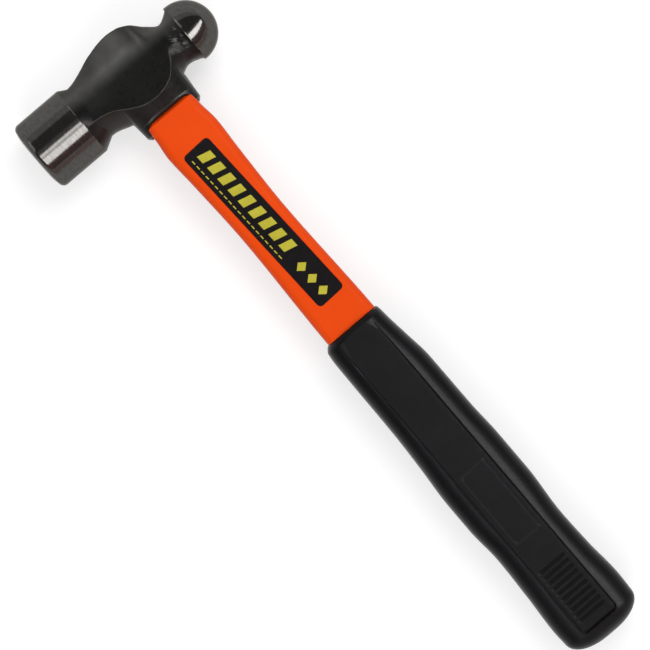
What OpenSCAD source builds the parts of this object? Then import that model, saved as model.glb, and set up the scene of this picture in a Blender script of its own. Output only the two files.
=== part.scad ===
// Ball peen hammer: a forged steel head on a fibreglass-cored handle with a moulded jacket
// and a rubber grip. It lies on one cheek with the labelled side up.
// X runs from the head to the butt, Y from the striking face to the ball, Z up.
// The shapes are written about the crossing of the handle's and the head's centre lines,
// and in_place() moves them to the part's own origin, below the middle of the tool.

/* [Overall] */
// Length from the crown of the head to the butt of the grip
tool_len = 342; // [320:1:380]

/* [Head] */
// Distance of the striking face from the handle's centre line
face_reach = 57.7; // [54:0.1:64]
// Distance of the ball's tip from the handle's centre line
ball_reach = 42.3; // [40:0.1:46]
// Height of the body's crown above the head's centre line
crown_h = 20.9; // [20:0.1:26]
// Diameter of the poll, the round striking end
poll_d = 34; // [32:0.1:38]
// Length of the poll from the face to the start of its back taper
poll_len = 26; // [22:0.1:28]
// Length of the poll's back taper
poll_taper = 4.8; // [3:0.1:6]
// Diameter of the flat middle of the striking face
face_d = 25; // [20:0.5:28]
// Drop of the crowned ring around the flat middle of the face
face_crown = 0.5; // [0.2:0.1:1]
// Length of the rounded bevel around the face
face_bevel = 3.2; // [2:0.1:5]
// Width of the rounded bevel around the face
face_bevel_w = 2.6; // [1.5:0.1:3.5]
// Diameter of the neck between the poll and the body
poll_neck_d = 28.4; // [26:0.1:30]
// Diameter of the ball
ball_d = 28.8; // [27:0.1:30]
// Diameter of the neck between the ball and the body
ball_neck_d = 21.8; // [18:0.1:24]
// Thickness of the body across the cheeks, at the parting line
cheek_t = 28.4; // [28:0.1:32]
// Depth of the parting line below the head's centre line
parting_drop = 14.6; // [12:0.1:16]
// Width of the flat crown around the top of the eye
crown_w = 17.4; // [16.6:0.1:20]
// Draft of the cheeks towards the crown, as a share of their thickness
cheek_draft = 0.33; // [0.2:0.01:0.36]
// Distance of the ball's flat back behind its middle
ball_back = 0.9; // [0:0.1:3]

/* [Eye boss] */
// Distance of the boss's rim from the head's centre line, at the cheeks
rim_drop = 20; // [18.5:0.1:23]
// Distance of the ears' ends from the head's centre line
ear_drop = 26.8; // [25:0.1:30]
// Length of the boss along the head, at the rim
boss_len = 30.8; // [30:0.1:34]
// Width of the boss across the cheeks, at the rim
boss_w = 22.4; // [21.5:0.1:25]
// Length of the bevel at the ears' ends
ear_bevel = 1.7; // [0.5:0.1:3]
// Radius of the arch between the ears
ear_arch_r = 3; // [2:0.1:5]
// Distance that the arch's sides stand in from the jacket's sides
arch_inset = 0.3; // [0.1:0.1:0.8]

/* [Eye] */
// Length of the eye at its waist
eye_waist_len = 24.2; // [22:0.1:25]
// Width of the eye at its waist
eye_waist_w = 13; // [12.4:0.1:14]
// Length of the eye at the crown
eye_top_len = 25.6; // [24:0.1:26.4]
// Width of the eye at the crown
eye_top_w = 14.2; // [13:0.1:15]
// Gap between the jacket and the eye's wall
eye_fit = 0.15; // [0.05:0.05:0.3]
// Gap between the cast resin and what it is cast against
resin_fit = 0.05; // [0.02:0.01:0.1]
// Depth of the resin cap below the crown
cap_drop = 0.8; // [0.3:0.1:2]
// Thickness of the resin over the core's end
cap_t = 2.5; // [1:0.1:4]

/* [Core] */
// Width of the fibreglass core along the head
core_w = 17; // [14:0.5:19]
// Thickness of the fibreglass core
core_t = 9; // [7:0.5:11]
// Corner radius of the core
core_r = 3; // [1:0.5:3]
// Gap around the core
core_fit = 0.05; // [0.02:0.01:0.1]
// Distance of the core's lower end from the butt
core_end = 14; // [12:0.5:25]

/* [Jacket] */
// Depth of the jacket's end inside the eye, above the boss's rim
jacket_seat = 12; // [8:0.5:14]
// Width of the jacket in the eye
neck_w = 25.4; // [24:0.1:25.8]
// Thickness of the jacket in the eye
neck_t = 15.6; // [14.6:0.1:17]
// Length of the sloping shoulder between the boss's rim and the jacket's full thickness
shoulder_len = 2.6; // [1.5:0.1:6]
// Width of the swell below the head
swell_w = 27.4; // [26:0.1:30]
// Distance of the swell from the head's centre line
swell_drop = 37.7; // [33:0.1:44]
// Width of the waist
waist_w = 23.8; // [22:0.1:27]
// Distance of the waist from the head's centre line
waist_drop = 86; // [70:1:100]
// Width of the jacket at the mouth of the grip
mouth_w = 26.2; // [24:0.1:28]
// Thickness of the jacket where the label sits
jacket_t = 19; // [18:0.1:21]
// Corner radius of the jacket
jacket_r = 3.6; // [2:0.1:5]
// Width of the stem that the grip holds
stem_w = 24; // [20:0.5:25]
// Thickness of the stem that the grip holds
stem_t = 16; // [13:0.5:18]
// Distance of the jacket's lower end from the butt
jacket_end = 9; // [6:0.5:11]

/* [Grip] */
// Length of the grip
grip_len = 176; // [160:1:190]
// Thickness of the grip
grip_t = 27.4; // [25:0.1:31]
// Width of the grip's mouth
grip_mouth_w = 30; // [29:0.1:33]
// Width of the front of the grip, behind its mouth
grip_front_w = 34.4; // [32:0.1:38]
// Width of the palm swell
palm_w = 37; // [34:0.1:42]
// Width of the finger waist
finger_w = 34.6; // [32:0.1:40]
// Width at the heel
heel_w = 38.2; // [35:0.1:44]
// Length of the rounded heel
heel_round = 8.8; // [6:0.1:11]
// Gap between the grip and the jacket
grip_fit = 0.05; // [0.02:0.01:0.1]
// Width of the flat panels
panel_w = 19.8; // [17:0.1:22]
// Depth of the panels below the grip's crown
panel_depth = 0.9; // [0.6:0.1:1.2]
// Distance of the panels' middle line from the handle's centre line, towards the ball
panel_shift = -0.4; // [-1:0.1:1]
// Corner radius of the panels
panel_r = 2.2; // [1:0.1:4]
// Distance of the panels' ends from the butt
panel_end = 8.1; // [7:0.1:11]
// Width of the groove around the panels
panel_groove_w = 0.8; // [0.5:0.1:1.2]
// Depth of the groove around the panels
panel_groove_depth = 0.4; // [0.2:0.1:0.6]
// Number of ribs' grooves across the heel
rib_count = 10; // [4:1:14]
// Pitch of the grooves across the heel
rib_pitch = 3; // [2.4:0.05:3.4]
// Width of the grooves across the heel
rib_w = 1.2; // [0.8:0.1:1.8]
// Depth of the grooves across the heel
rib_depth = 0.6; // [0.3:0.1:0.9]
// Length of the grooves across the heel
rib_len = 13.8; // [10:0.1:16]
// Distance of the last groove from the butt
rib_end = 14; // [12:0.1:20]
// Length of the raised bare frame
frame_len = 39; // [25:0.5:44]
// Width of the raised bare frame
frame_w = 13.2; // [7:0.1:15]
// Width of the raised frame's bar
frame_bar = 1.1; // [0.8:0.1:2]
// Height of the raised frame
frame_h = 0.4; // [0.2:0.1:0.7]
// Distance of the frame's middle from the butt
frame_end = 76; // [66:0.5:100]

/* [Label] */
// Length of the label
label_len = 88.6; // [70:0.1:92]
// Width of the label
label_w = 14.2; // [11:0.1:15]
// Thickness of the label
label_t = 0.25; // [0.15:0.05:0.4]
// Corner radius of the label
label_r = 2; // [1:0.5:5]
// Distance of the label's middle from the head's centre line
label_drop = 85.7; // [80:0.1:95]
// Angle at which the label was stuck on
label_turn = 2.2; // [0:0.1:3]

/* [Hidden] */

round_fn = 96;          // facets of the poll and the ball
small_fn = 48;          // facets of small round corners
ring_n = 60;            // points of a section of the boss and the grip
body_n = 13;            // points of a quarter of the body's section
corner_steps = 6;       // steps of a rounded corner
boss_square = 2.6;      // how square the boss's section is: 2 is round
grip_square = 3.4;      // how square the grip's section is
lower_square = 2.2;     // how square the body's section is below the parting line
neck_lap = 6;           // length over which the ball's neck widens into the ball's back

butt_x = tool_len - crown_h;
grip_x = butt_x - grip_len;
jacket_x0 = rim_drop - jacket_seat;
jacket_x1 = butt_x - jacket_end;
core_x1 = butt_x - core_end;
poll_back = -face_reach + poll_len;
ball_r = ball_d / 2;
ball_y = ball_reach - ball_r;
ball_edge = ball_y - ball_back;

// Smooth curve through stations [place, value], without overshoot, read at place p
function rise(s, i) = (s[i + 1][1] - s[i][1]) / (s[i + 1][0] - s[i][0]);
function lean(s, i) =
    i == 0 ? rise(s, 0) :
    i == len(s) - 1 ? rise(s, i - 1) :
    rise(s, i - 1) * rise(s, i) <= 0 ? 0 :
    2 * rise(s, i - 1) * rise(s, i) / (rise(s, i - 1) + rise(s, i));
function span_of(s, p) = max([for (i = [0:len(s) - 2]) i == 0 || s[i][0] <= p ? i : 0]);
function curve(s, p) = let (
    i = span_of(s, p),
    w = s[i + 1][0] - s[i][0],
    t = min(1, max(0, (p - s[i][0]) / w)))
    s[i][1] * (1 + 2 * t) * (1 - t) * (1 - t) + s[i + 1][1] * t * t * (3 - 2 * t)
    + w * lean(s, i) * t * (1 - t) * (1 - t) - w * lean(s, i + 1) * t * t * (1 - t);

function lerp(a, b, t) = a + (b - a) * t;

// Places from a to b in n equal steps
function steps(a, b, n) = [for (i = [0:n]) a + (b - a) * i / n];

// Rounded rectangle of half sizes a and b, as points
function round_box(a, b, r) = [for (c = [0:3], k = [0:corner_steps])
    let (q = c * 90 + k * 90 / corner_steps,
        sx = c == 0 || c == 3 ? 1 : -1,
        sy = c < 2 ? 1 : -1)
    [sx * (a - r) + r * cos(q), sy * (b - r) + r * sin(q)]];

// Solid through rings of points, all of one count, with flat ends
module loft(rings) {
    n = len(rings[0]);
    m = len(rings);
    sides = [for (i = [0:m - 2], k = [0:n - 1]) let (
        a = i * n + k,
        b = i * n + (k + 1) % n)
        each [[a, b + n, b], [a, a + n, b + n]]];
    polyhedron(points = [for (r = rings) each r],
        faces = concat([[for (k = [0:n - 1]) k]], sides, [[for (k = [n - 1:-1:0]) (m - 1) * n + k]]));
}

// Moves what is modelled about the crossing of the centre lines to the part's origin
module in_place() {
    translate([(crown_h - tool_len / 2), (face_reach - ball_reach) / 2, max(poll_d, grip_t) / 2])
        children();
}

// Turns a profile drawn with its axis along Y up into the head's axis
module about_head_axis() { rotate([-90, 0, 0]) children(); }

// Rounded rectangle drawn in a plane
module round_plate(l, w, r) {
    square([l - 2 * r, w], center = true);
    square([l, w - 2 * r], center = true);
    for (x = [-1, 1], y = [-1, 1])
        translate([x * (l / 2 - r), y * (w / 2 - r)]) circle(r = r, $fn = small_fn);
}

// ---- Head ----

body_y0 = poll_back + poll_taper / 2; // and inside the poll's back taper
body_y1 = ball_edge + 0.6;          // the body ends just inside the ball
poll_neck_r = poll_neck_d / 2;
ball_neck_r = ball_neck_d / 2;
ball_neck_y = ball_edge - neck_lap;
poll_neck_y = poll_back + poll_taper;
root_sink = 2;                      // depth of the back taper's small end inside the neck
poll_root = poll_taper * (poll_d / 2 - poll_neck_r + root_sink) / (poll_d / 2 - poll_neck_r);

// Crown line, the body's outline above the head's centre line
crown_line = [
    [body_y0, poll_neck_r + 0.4], [poll_neck_y + 1, poll_neck_r + 0.7],
    [-18.4, lerp(poll_neck_r, crown_h, 0.43)], [-10.5, lerp(poll_neck_r, crown_h, 0.74)],
    [-5.3, lerp(poll_neck_r, crown_h, 0.92)], [0, crown_h],
    [5.3, lerp(ball_neck_r, crown_h, 0.945)], [10.5, lerp(ball_neck_r, crown_h, 0.72)],
    [15.8, lerp(ball_neck_r, crown_h, 0.27)], [ball_neck_y, ball_neck_r - 0.7],
    [ball_edge - 2, ball_neck_r + 1], [body_y1, ball_r - 0.6]];
// Lower outline, mostly hidden by the boss
lower_line = [
    [body_y0, poll_neck_r - 0.6], [poll_neck_y + 2, poll_neck_r - 0.6],
    [-15, poll_neck_r + 2], [0, rim_drop - 2.5], [14, ball_neck_r + 3],
    [ball_neck_y - 1, ball_neck_r + 0.7], [ball_edge - 2, ball_neck_r + 1.8], [body_y1, ball_r - 0.4]];
// Parting line, where the cheeks are thickest
parting_line = [
    [body_y0, 5], [-25, 5.5], [-19.5, parting_drop * 0.465], [-12.1, parting_drop * 0.757],
    [-6.4, parting_drop * 0.94], [-0.5, parting_drop], [4.5, parting_drop * 0.95],
    [9, parting_drop * 0.83], [12.5, parting_drop * 0.63], [15.2, parting_drop * 0.34],
    [17.5, 0.8], [body_y1, 0]];
// Half the thickness at the parting line
cheek_line = [
    [body_y0, poll_neck_r], [-22, lerp(poll_neck_r, cheek_t / 2, 0.05)], [-10, cheek_t / 2 - 0.3],
    [0, cheek_t / 2], [9, cheek_t / 2 - 0.7], [15, lerp(ball_neck_r, cheek_t / 2, 0.4)],
    [ball_neck_y, ball_neck_r], [ball_edge - 2, ball_neck_r + 1.5], [body_y1, ball_r - 0.5]];
// How square the body's section is: 2 is round
square_line = [[body_y0, 2], [-20, 2.4], [-10, 4], [0, 4.6], [9, 4], [16, 2.4], [body_y1, 2]];
// Half the width of the flat crown
flat_line = [[body_y0, 0.3], [-20, 0.6], [-12, crown_w / 2 - 1], [0, crown_w / 2],
    [10, crown_w / 2 - 1], [16.5, 0.6], [body_y1, 0.3]];
// Draft of the cheeks above and below the parting line
draft_line = [[body_y0, 0.05], [-14, cheek_draft], [8, cheek_draft], [16, 0.05], [body_y1, 0]];
lower_draft_line = [[body_y0, 0.3], [8, 0.3], [15, 0.1], [body_y1, 0]];
// Share of the draft used up on the way from the parting line (0) to the outline (1): the cheeks
// are nearly flat, and lean in from the middle of the eye up to the crown
lean_line = [[0, 0], [0.5, 0.22], [0.62, 0.3], [0.74, 0.47], [1, 1]];
even_line = [[0, 0], [1, 1]];
keel_w = 0.3;                       // half the width of the section's lower edge

// One quarter of a section from the parting line (0) to the outline (90)
function flank(q, p, edge_x, edge_z, part_x, part_z, draft, leans) = let (
    s = pow(sin(q), 2 / p),
    f = pow(cos(q), 2 / p))
    [part_x + (edge_x - part_x) * s, edge_z + (part_z * (1 - draft * curve(leans, s)) - edge_z) * f];

function body_half(y) = let (
    p = curve(square_line, y),
    part_x = curve(parting_line, y),
    part_z = curve(cheek_line, y),
    n = body_n)
    concat(
        [for (k = [n:-1:1]) flank(90 * k / n, p, -curve(crown_line, y), curve(flat_line, y),
            part_x, part_z, curve(draft_line, y), lean_line)],
        [for (k = [0:n]) flank(90 * k / n, lower_square, curve(lower_line, y), keel_w,
            part_x, part_z, curve(lower_draft_line, y), even_line)]);

function body_ring(y) = let (h = body_half(y), n = len(h))
    concat([for (p = h) [p[0], y, p[1]]], [for (k = [n - 1:-1:0]) [h[k][0], y, -h[k][1]]]);

module body() {
    loft([for (y = concat(steps(body_y0, -8, 12), steps(-6, ball_neck_y, 15),
        steps(ball_neck_y + 1.2, body_y1, 5))) body_ring(y)]);
}

module poll() {
    r = poll_d / 2;
    bevel = [for (q = steps(90, 0, 8))
        [r - face_bevel_w + face_bevel_w * cos(q),
         face_crown + (face_bevel - face_crown) * (1 - sin(q))]];
    translate([0, -face_reach, 0]) about_head_axis()
        rotate_extrude($fn = round_fn)
            polygon(concat([[0, 0], [face_d / 2, 0]], bevel,
                [[r, poll_len], [poll_neck_r - root_sink, poll_len + poll_root],
                 [0, poll_len + poll_root]]));
}

module ball() {
    translate([0, ball_y, 0]) intersection() {
        sphere(r = ball_r, $fn = round_fn);
        translate([-ball_r, ball_edge - ball_y, -ball_r]) cube([ball_d, ball_d, ball_d]);
    }
}

// Section of the boss of half length l and half width w
function boss_ring(x, l, w) = [for (k = [0:ring_n - 1]) let (q = k * 360 / ring_n,
    c = pow(abs(cos(q)), 2 / boss_square), s = pow(abs(sin(q)), 2 / boss_square))
    [x, (cos(q) < 0 ? -1 : 1) * l * c, (sin(q) < 0 ? -1 : 1) * w * s]];

module boss() {
    ear_l = boss_len / 2;
    loft([
        boss_ring(parting_drop - 8, ear_l, cheek_t / 2 - 2.2),
        boss_ring(parting_drop, ear_l + 0.5, cheek_t / 2 - 0.1),
        boss_ring(rim_drop, ear_l, boss_w / 2),
        boss_ring(ear_drop - ear_bevel, ear_l - 0.4, boss_w / 2 - 0.6),
        boss_ring(ear_drop, ear_l - 0.4 - ear_bevel, boss_w / 2 - 1.2)]);
}

// The part of the boss between the ears, cut back to the rim
module ear_arch() {
    half = neck_w / 2 - arch_inset;
    reach = 2 * (ear_drop - rim_drop);
    linear_extrude(height = 3 * boss_w, center = true)
        translate([rim_drop + ear_arch_r, 0]) {
            translate([-ear_arch_r, -half + ear_arch_r])
                square([ear_arch_r + reach, 2 * (half - ear_arch_r)]);
            translate([0, -half]) square([reach, 2 * half]);
            for (y = [-1, 1])
                translate([0, y * (half - ear_arch_r)]) circle(r = ear_arch_r, $fn = small_fn);
        }
}

// Places along the eye with its half length and half width there, from below the ears to the crown
eye_stations = [
    [ear_drop + 10, neck_w / 2 + eye_fit, neck_t / 2 + eye_fit],
    [jacket_x0 - 1, neck_w / 2 + eye_fit, neck_t / 2 + eye_fit],
    [jacket_x0 - 5, eye_waist_len / 2, eye_waist_w / 2],
    [-crown_h * 0.35, eye_waist_len / 2, eye_waist_w / 2],
    [-crown_h - 1, eye_top_len / 2, eye_top_w / 2]];

// The eye, shrunk all round by a gap
module eye_void(gap) {
    loft([for (s = eye_stations)
        [for (p = round_box(s[1] - gap, s[2] - gap, jacket_r - gap)) [s[0], -p[0], p[1]]]]);
}

module head() {
    color([0.16, 0.16, 0.165]) in_place() difference() {
        union() {
            poll();
            ball();
            body();
            difference() {
                boss();
                ear_arch();
            }
        }
        eye_void(0);
    }
}

// ---- Handle ----

cap_reach = 14;                     // half the length of the cap's profile, past the eye's ends
crown_below = [for (y = steps(-cap_reach, cap_reach, 20)) [cap_drop - curve(crown_line, y), y]];
core_x0 = -crown_h + cap_drop + cap_t + 2;

module core_shape(g) {
    translate([core_x0 - g, 0, 0]) rotate([90, 0, 90])
        linear_extrude(height = core_x1 - core_x0 + 2 * g)
            round_plate(core_w + 2 * g, core_t + 2 * g, core_r + g);
}

module fibreglass_core() {
    color([0.86, 0.83, 0.72]) in_place() core_shape(0);
}

module eye_resin() {
    color([0.12, 0.11, 0.10]) in_place() difference() {
        intersection() {
            eye_void(resin_fit);
            linear_extrude(height = boss_w + cheek_t, center = true)
                polygon(concat(crown_below, [for (y = [1, -1]) [jacket_x0 - resin_fit, y * cap_reach]]));
        }
        core_shape(core_fit);
    }
}

// Half the jacket's width and half its thickness along the handle
jacket_width_line = [
    [jacket_x0, neck_w / 2], [ear_drop, neck_w / 2], [swell_drop, swell_w / 2],
    [lerp(swell_drop, waist_drop, 0.32), lerp(swell_w, waist_w, 0.42) / 2],
    [waist_drop, waist_w / 2], [grip_x, mouth_w / 2], [grip_x + 8, stem_w / 2], [jacket_x1, stem_w / 2]];
jacket_thick_line = [
    [jacket_x0, neck_t / 2], [rim_drop + 0.2, neck_t / 2], [rim_drop + shoulder_len, jacket_t / 2],
    [grip_x, jacket_t / 2], [grip_x + 8, stem_t / 2], [jacket_x1, stem_t / 2]];

function jacket_ring(x, g) = [for (p = round_box(
    curve(jacket_width_line, x) + g, curve(jacket_thick_line, x) + g, jacket_r + g)) [x, p[0], p[1]]];

jacket_places = concat([jacket_x0, rim_drop + 0.2], steps(rim_drop + 0.6, rim_drop + shoulder_len, 5),
    steps(ear_drop, swell_drop, 5), steps(swell_drop + 5, grip_x - 4, 15),
    [grip_x, grip_x + 1.5, grip_x + 4, grip_x + 6.5, grip_x + 8, jacket_x1]);

module handle_jacket() {
    color([0.92, 0.30, 0.05]) in_place() difference() {
        loft([for (x = jacket_places) jacket_ring(x, 0)]);
        core_shape(core_fit);
    }
}

// The grip's front edge (towards the ball) and rear edge, by distance from its mouth
front_edge = [
    [0, mouth_w / 2 + 0.4], [1, grip_mouth_w / 2 - 0.8], [8, grip_mouth_w / 2 - 0.1],
    [18, lerp(grip_mouth_w, grip_front_w, 0.5) / 2], [32, grip_front_w / 2 + 0.4],
    [60, grip_front_w / 2 + 0.6], [grip_len * 0.44, palm_w / 2 - 0.1], [grip_len * 0.55, palm_w / 2 - 0.3],
    [grip_len * 0.69, finger_w / 2 - 0.4], [grip_len * 0.79, finger_w / 2 + 0.3],
    [grip_len - 18, heel_w / 2 - 0.2], [grip_len - heel_round, heel_w / 2 - 0.5]];
rear_edge = [
    [0, mouth_w / 2 + 0.4], [1, grip_mouth_w / 2 - 0.4], [3, grip_mouth_w / 2 + 0.8],
    [9, grip_front_w / 2 - 0.9], [48, grip_front_w / 2 - 0.5],
    [grip_len * 0.38, lerp(grip_front_w, palm_w, 0.25) / 2], [grip_len * 0.50, palm_w / 2 + 0.3],
    [grip_len * 0.58, palm_w / 2 + 0.1], [grip_len * 0.68, finger_w / 2 + 0.2],
    [grip_len * 0.80, finger_w / 2 + 1], [grip_len - 16, heel_w / 2 + 0.3],
    [grip_len - heel_round, heel_w / 2]];
grip_thick_line = [
    [0, jacket_t / 2 + 1], [1.5, jacket_t / 2 + 2.2], [12, grip_t / 2 - 0.4], [40, grip_t / 2],
    [grip_len - heel_round, grip_t / 2]];

// The heel turns in along a quarter of an ellipse: the share of the half width that is left
function heel_share(d) = let (t = max(0, d - grip_len + heel_round) / heel_round)
    1 - 0.88 * (1 - sqrt(max(0, 1 - t * t)));

function grip_ring(d) = let (
    a = curve(front_edge, d) * heel_share(d),
    b = curve(rear_edge, d) * heel_share(d),
    h = curve(grip_thick_line, d) * heel_share(d),
    p = 2 / grip_square)
    [for (k = [0:ring_n - 1]) let (q = k * 360 / ring_n, c = cos(q), s = sin(q))
        [grip_x + d, c < 0 ? -b * pow(-c, p) : a * pow(c, p), (s < 0 ? -1 : 1) * h * pow(abs(s), p)]];

grip_places = concat([0, 0.5, 1, 3], steps(6, 32, 6), steps(42, grip_len - 18, 15),
    [for (q = [0, 20, 38, 53, 65, 75, 83, 90]) grip_len - heel_round * (1 - sin(q))]);

// The panel's outline, grown by g, as seen from above
module panel_shape(g) {
    l = grip_len - panel_end + 1 + 2 * g;
    translate([grip_x - 1 - g + l / 2 - 1, panel_shift]) round_plate(l + 2, panel_w + 2 * g, panel_r + g);
}

module panel_cuts() {
    top = grip_t / 2 - panel_depth;
    reach = 2 * panel_depth;
    for (side = [0, 1]) mirror([0, 0, side]) {
        translate([0, 0, top]) linear_extrude(height = reach) panel_shape(0);
        translate([0, 0, top - panel_groove_depth]) linear_extrude(height = reach) difference() {
            panel_shape(0);
            panel_shape(-panel_groove_w);
        }
        for (k = [0:rib_count - 1])
            translate([butt_x - rib_end - k * rib_pitch - rib_w / 2, panel_shift - rib_len / 2,
                    top - rib_depth])
                cube([rib_w, rib_len, reach]);
    }
}

// The raised frame on the labelled side, sunk into the panel by its own height
module bare_frame() {
    translate([butt_x - frame_end, panel_shift, grip_t / 2 - panel_depth - frame_h])
        linear_extrude(height = 2 * frame_h) difference() {
            round_plate(frame_len, frame_w, frame_bar);
            round_plate(frame_len - 2 * frame_bar, frame_w - 2 * frame_bar, frame_bar / 2);
        }
}

module grip() {
    color([0.09, 0.09, 0.095]) in_place() union() {
        difference() {
            loft([for (d = grip_places) grip_ring(d)]);
            loft([for (x = [for (p = jacket_places) if (p >= grip_x - 4) p])
                jacket_ring(x == jacket_x1 ? x + grip_fit : x, grip_fit)]);
            panel_cuts();
        }
        bare_frame();
    }
}

module label() {
    color([0.07, 0.06, 0.06]) in_place()
        translate([label_drop, 0, jacket_t / 2]) rotate([0, 0, label_turn])
            linear_extrude(height = label_t) round_plate(label_len, label_w, label_r);
}

head();
fibreglass_core();
handle_jacket();
eye_resin();
grip();
label();
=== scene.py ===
"""Looks of the ball peen hammer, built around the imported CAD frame.

Sizes are in millimetres about the crossing of the handle's and the head's centre lines, as in
part.scad, and `to_frame` moves them to metres in the row frame.
"""

import math

import bmesh
import bpy
import numpy as np
from mathutils import Matrix, Vector, noise


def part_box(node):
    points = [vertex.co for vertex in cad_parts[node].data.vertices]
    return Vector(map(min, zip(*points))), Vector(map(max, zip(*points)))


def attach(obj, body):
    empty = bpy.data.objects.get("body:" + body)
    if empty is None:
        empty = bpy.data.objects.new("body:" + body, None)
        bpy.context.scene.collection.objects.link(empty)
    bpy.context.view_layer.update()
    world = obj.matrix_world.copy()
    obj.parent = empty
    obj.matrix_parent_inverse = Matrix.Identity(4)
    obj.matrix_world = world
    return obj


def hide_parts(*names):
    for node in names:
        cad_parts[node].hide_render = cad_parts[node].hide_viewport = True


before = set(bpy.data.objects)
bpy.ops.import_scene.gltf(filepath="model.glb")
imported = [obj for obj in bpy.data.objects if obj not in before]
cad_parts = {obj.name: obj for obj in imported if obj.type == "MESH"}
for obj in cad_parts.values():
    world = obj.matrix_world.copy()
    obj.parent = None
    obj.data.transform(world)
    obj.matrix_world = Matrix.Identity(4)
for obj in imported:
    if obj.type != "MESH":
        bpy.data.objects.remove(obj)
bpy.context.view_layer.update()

# ---- Sizes of the object, in millimetres ----

MM = 0.001
FACE_REACH, BALL_REACH, CROWN_H = 57.7, 42.3, 20.9
POLL_D, POLL_LEN, POLL_TAPER = 33.97, 26.0, 4.8
FACE_D, FACE_CROWN, FACE_BEVEL, FACE_BEVEL_W = 25.0, 0.5, 3.2, 2.6
POLL_NECK_D, BALL_D, BALL_NECK_D = 28.4, 28.8, 21.8
CHEEK_T, PARTING_DROP, CROWN_W, CHEEK_DRAFT, BALL_BACK = 28.4, 14.6, 17.4, 0.33, 0.9
RIM_DROP, EAR_DROP, BOSS_LEN, BOSS_W, EAR_BEVEL = 20.0, 26.8, 30.8, 22.4, 1.7
EAR_ARCH_R, ARCH_INSET = 3.0, 0.3
EYE_WAIST_LEN, EYE_WAIST_W, EYE_TOP_LEN, EYE_TOP_W = 24.2, 13.0, 25.6, 14.2
EYE_FIT, RESIN_FIT, CAP_DROP, CAP_T = 0.15, 0.05, 0.8, 2.5
CORE_W, CORE_T, CORE_R, CORE_FIT, CORE_DROP = 17.0, 9.0, 3.0, 0.05, 2.0
JACKET_SEAT, NECK_W, NECK_T, SWELL_W, SWELL_DROP = 12.0, 25.4, 15.6, 27.4, 37.7
WAIST_W, WAIST_DROP, MOUTH_W, JACKET_T, JACKET_R = 23.8, 86.0, 26.2, 19.0, 3.6
STEM_W, STEM_T, JACKET_END = 24.0, 16.0, 9.0
GRIP_LEN, GRIP_T, GRIP_MOUTH_W, GRIP_FRONT_W = 176.0, 27.4, 30.0, 34.4
PALM_W, FINGER_W, HEEL_W, HEEL_ROUND, GRIP_FIT = 37.0, 34.6, 38.2, 8.8, 0.05
PANEL_W, PANEL_SHIFT, PANEL_DEPTH, PANEL_END, PANEL_R = 19.4, -0.8, 0.9, 8.1, 2.2
PANEL_GROOVE_W, PANEL_GROOVE_DEPTH = 0.8, 0.4
RIB_COUNT, RIB_PITCH, RIB_W, RIB_DEPTH, RIB_LEN, RIB_END = 10, 3.0, 1.2, 0.6, 13.8, 14.0
FRAME_LEN, FRAME_W, FRAME_BAR, FRAME_H, FRAME_END = 39.0, 13.9, 1.1, 0.08, 76.0
LABEL_LEN, LABEL_W, LABEL_T, LABEL_R, LABEL_DROP, LABEL_TURN = 88.6, 14.2, 0.25, 2.0, 85.7, 2.2

head_lo, head_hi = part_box("head")
_, grip_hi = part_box("grip")
CROSSING = np.array([head_lo[0] + CROWN_H * MM, head_lo[1] + FACE_REACH * MM,
                     (head_lo[2] + head_hi[2]) / 2])
BUTT_X = (grip_hi[0] - CROSSING[0]) / MM - 0.02     # just inside the CAD's own end
GRIP_X = BUTT_X - GRIP_LEN
JACKET_X0, JACKET_X1 = RIM_DROP - JACKET_SEAT, BUTT_X - JACKET_END
CORE_X0 = -CROWN_H + CAP_DROP + CAP_T + CORE_DROP
POLL_BACK = -FACE_REACH + POLL_LEN
BALL_R = BALL_D / 2
BALL_Y = BALL_REACH - BALL_R
BALL_EDGE = BALL_Y - BALL_BACK
EAR_L = BOSS_LEN / 2
STEM_X = GRIP_X + 8                      # where the jacket has narrowed to its stem
CORE_HOLE = (CORE_W / 2 + CORE_FIT, CORE_T / 2 + CORE_FIT, CORE_R + CORE_FIT)

RIM_LEAN = (0.3, 1.9)                    # the rim's edge and foot, past RIM_DROP
VOXEL = 0.28     # cell of the head's remesh
STEP = 0.5        # spacing of the sleeves' rings


def to_frame(points):
    """Millimetres about the crossing to metres in the row frame."""
    return np.asarray(points, float) * MM + CROSSING


def lerp(a, b, t):
    """The value a share t of the way from a to b."""
    return a + (b - a) * t


def curve(stations, place):
    """Smooth curve through [place, value] stations, without overshoot."""
    s = stations
    rise = [(s[i + 1][1] - s[i][1]) / (s[i + 1][0] - s[i][0]) for i in range(len(s) - 1)]

    def lean(i):
        if i == 0:
            return rise[0]
        if i == len(s) - 1:
            return rise[-1]
        a, b = rise[i - 1], rise[i]
        return 0 if a * b <= 0 else 2 * a * b / (a + b)

    i = max(k for k in range(len(s) - 1) if k == 0 or s[k][0] <= place)
    w = s[i + 1][0] - s[i][0]
    t = min(1, max(0, (place - s[i][0]) / w))
    return (s[i][1] * (1 + 2 * t) * (1 - t) ** 2 + s[i + 1][1] * t * t * (3 - 2 * t)
            + w * lean(i) * t * (1 - t) ** 2 - w * lean(i + 1) * t * t * (1 - t))


def smooth(t):
    """0 below 0 to 1 above 1, with a soft start and end."""
    t = np.clip(t, 0, 1)
    return t * t * (3 - 2 * t)


# ---- Mesh helpers ----

def make_object(name, verts, faces):
    """A mesh object in the scene, with its faces turned outwards."""
    mesh = bpy.data.meshes.new(name)
    mesh.from_pydata([tuple(v) for v in verts], [], faces)
    mesh.validate()
    obj = bpy.data.objects.new(name, mesh)
    bpy.context.scene.collection.objects.link(obj)
    bm = bmesh.new()
    bm.from_mesh(mesh)
    bmesh.ops.recalc_face_normals(bm, faces=bm.faces)
    bm.to_mesh(mesh)
    bm.free()
    return obj


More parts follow.
